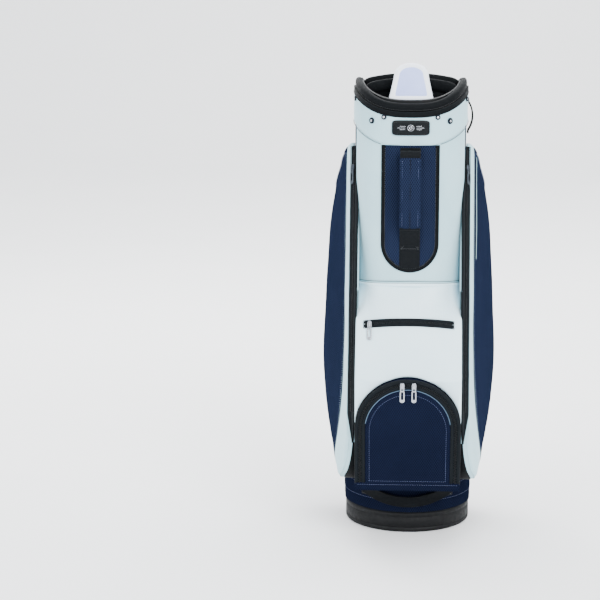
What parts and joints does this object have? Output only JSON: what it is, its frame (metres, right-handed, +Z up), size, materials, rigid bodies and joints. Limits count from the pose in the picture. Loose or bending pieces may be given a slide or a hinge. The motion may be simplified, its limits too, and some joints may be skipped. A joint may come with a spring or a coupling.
{
  "type": "golf cart bag",
  "caption": "Round-based golf bag with divided club mouth, zipped front and side pockets, grab handles and a hooked shoulder strap.",
  "frame": {"origin": "middle of the round base, on the ground", "axes": "+Z up along the bag, -Y to the bag's front with its ball pocket, +X to the viewer's right when facing the front"},
  "size_m": [0.344, 0.4386, 0.9472],
  "materials": {
    "base_plastic": "moulded, fine grain",
    "frame_plastic": "moulded",
    "stay_rod": "satin",
    "navy_ripstop": "diamond ripstop weave",
    "white_leather": "smooth coated, fine grain",
    "black_webbing": "woven webbing",
    "black_padding": "padded knit",
    "white_pad": "smooth padded",
    "plate_black": "gloss",
    "snap_silver": "polished",
    "zip_tape": "zip tape",
    "zip_metal": "satin polished",
    "strap_hardware": "gloss",
    "ring_metal": "dark nickel"
  },
  "bodies": {
    "bag": {"base_cup": "base_plastic", "base_band": "navy_ripstop", "body_shell": "navy_ripstop", "stay_rods": "stay_rod", "collar_frame": "frame_plastic", "cuff": "white_leather", "cuff_back": "navy_ripstop", "rim_binding": "black_webbing", "rim_pad": "black_padding", "divider_bar_front": "black_padding", "divider_bar_middle": "black_padding", "divider_bar_rear": "black_padding", "divider_ribs": "black_padding", "divider_panels": "black_webbing", "front_guard": "white_pad", "rear_guard": "white_pad", "front_panel": "white_leather", "inset_panel": "navy_ripstop", "inset_binding": "black_webbing", "grab_anchor_upper": "black_webbing", "grab_anchor_lower": "black_webbing", "name_plate": "plate_black", "hood_snaps_small": "snap_silver", "hood_snaps_large": "snap_silver", "mid_pocket": "white_leather", "mid_zip": "zip_tape", "ball_pocket": "navy_ripstop", "ball_panel": "navy_ripstop", "ball_zip": "zip_tape", "side_pocket_left": "navy_ripstop", "side_pocket_right": "navy_ripstop", "side_strip_left": "white_leather", "side_strip_right": "white_leather", "side_zip_left": "zip_tape", "side_zip_right": "zip_tape", "base_handle_anchors": "black_webbing", "spine_panel": "black_padding", "strap_anchor_upper": "black_webbing", "strap_anchor_lower": "black_webbing", "accessory_loop": "black_webbing"},
    "grab_handle": {"grab_sleeve": "navy_ripstop", "grab_webbing": "black_webbing"},
    "base_handle": {"base_handle": "black_webbing"},
    "mid_slider": {"mid_slider": "zip_metal"},
    "mid_pull": {"mid_pull": "zip_metal"},
    "ball_slider_left": {"ball_slider_left": "zip_metal"},
    "ball_pull_left": {"ball_pull_left": "zip_metal"},
    "ball_slider_right": {"ball_slider_right": "zip_metal"},
    "ball_pull_right": {"ball_pull_right": "zip_metal"},
    "side_slider_left": {"side_slider_left": "zip_metal"},
    "side_pull_left": {"side_pull_left": "zip_metal"},
    "side_slider_right": {"side_slider_right": "zip_metal"},
    "side_pull_right": {"side_pull_right": "zip_metal"},
    "strap_ring": {"strap_ring": "ring_metal"},
    "shoulder_strap": {"strap_eye": "strap_hardware", "strap_pad": "black_padding", "strap_webbing": "black_webbing"},
    "strap_glide": {"strap_glide": "strap_hardware"},
    "strap_hook": {"strap_hook": "strap_hardware"},
    "hook_gate": {"hook_gate": "strap_hardware"}
  },
  "joints": [
    {"name": "grab_handle_swing", "type": "hinge", "parent": "bag", "child": "grab_handle", "pos_m": [0, -0.15, 0.68], "axis": [0, 0, 1], "range_deg": [-25, 25]},
    {"name": "base_handle_lift", "type": "hinge", "parent": "bag", "child": "base_handle", "pos_m": [0, -0.098, 0.1], "axis": [-1, 0, 0], "range_deg": [0, 38]},
    {"name": "strap_swing", "type": "hinge", "parent": "bag", "child": "shoulder_strap", "pos_m": [0, 0.144, 0.83], "axis": [0, -0.003, 1], "range_deg": [-14, 14]},
    {"name": "strap_ring_swing", "type": "hinge", "parent": "bag", "child": "strap_ring", "pos_m": [0, 0.144, 0.852], "axis": [1, 0, 0], "range_deg": [-2, 8]},
    {"name": "strap_glide_travel", "type": "slide", "parent": "shoulder_strap", "child": "strap_glide", "axis": [0, 0, -1], "range_m": [-0.02, 0.13]},
    {"name": "hook_swivel", "type": "hinge", "parent": "shoulder_strap", "child": "strap_hook", "pos_m": [0, 0.147, 0.826], "axis": [0, -0.3048, 0.9524], "range_deg": [-14, 14]},
    {"name": "hook_gate_press", "type": "hinge", "parent": "strap_hook", "child": "hook_gate", "pos_m": [0, 0.15399, 0.81971], "axis": [1, 0, 0], "range_deg": [0, 22], "stiffness_Nm_per_rad": 0.02, "springref_deg": -11.46},
    {"name": "mid_zip_travel", "type": "slide", "parent": "bag", "child": "mid_slider", "axis": [1, 0, 0], "range_m": [0, 0.154]},
    {"name": "mid_pull_lift", "type": "hinge", "parent": "mid_slider", "child": "mid_pull", "pos_m": [-0.077, -0.18201, 0.44328], "axis": [-1, 0, 0], "range_deg": [0, 95]},
    {"name": "ball_zip_travel_left", "type": "hinge", "parent": "bag", "child": "ball_slider_left", "pos_m": [0, -0.238, 0.243], "axis": [0, 0.9911, 0.1334], "range_deg": [-80, 0]},
    {"name": "ball_pull_lift_left", "type": "hinge", "parent": "ball_slider_left", "child": "ball_pull_left", "pos_m": [-0.0114, -0.25434, 0.33444], "axis": [-1, 0, 0], "range_deg": [0, 95]},
    {"name": "ball_zip_travel_right", "type": "hinge", "parent": "bag", "child": "ball_slider_right", "pos_m": [0, -0.238, 0.243], "axis": [0, 0.9911, 0.1334], "range_deg": [0, 80]},
    {"name": "ball_pull_lift_right", "type": "hinge", "parent": "ball_slider_right", "child": "ball_pull_right", "pos_m": [0.0114, -0.25434, 0.33444], "axis": [-1, 0, 0], "range_deg": [0, 95]},
    {"name": "side_zip_travel_left", "type": "slide", "parent": "bag", "child": "side_slider_left", "axis": [0, -0.2952, -0.9554], "range_m": [0, 0.44]},
    {"name": "side_pull_lift_left", "type": "hinge", "parent": "side_slider_left", "child": "side_pull_left", "pos_m": [-0.11676, -0.05617, 0.73578], "axis": [-0.6573, 0.72, -0.2224], "range_deg": [0, 95]},
    {"name": "side_zip_travel_right", "type": "slide", "parent": "bag", "child": "side_slider_right", "axis": [0, -0.2952, -0.9554], "range_m": [0, 0.44]},
    {"name": "side_pull_lift_right", "type": "hinge", "parent": "side_slider_right", "child": "side_pull_right", "pos_m": [0.11676, -0.05617, 0.73578], "axis": [-0.6573, -0.72, 0.2224], "range_deg": [0, 95]}
  ]
}
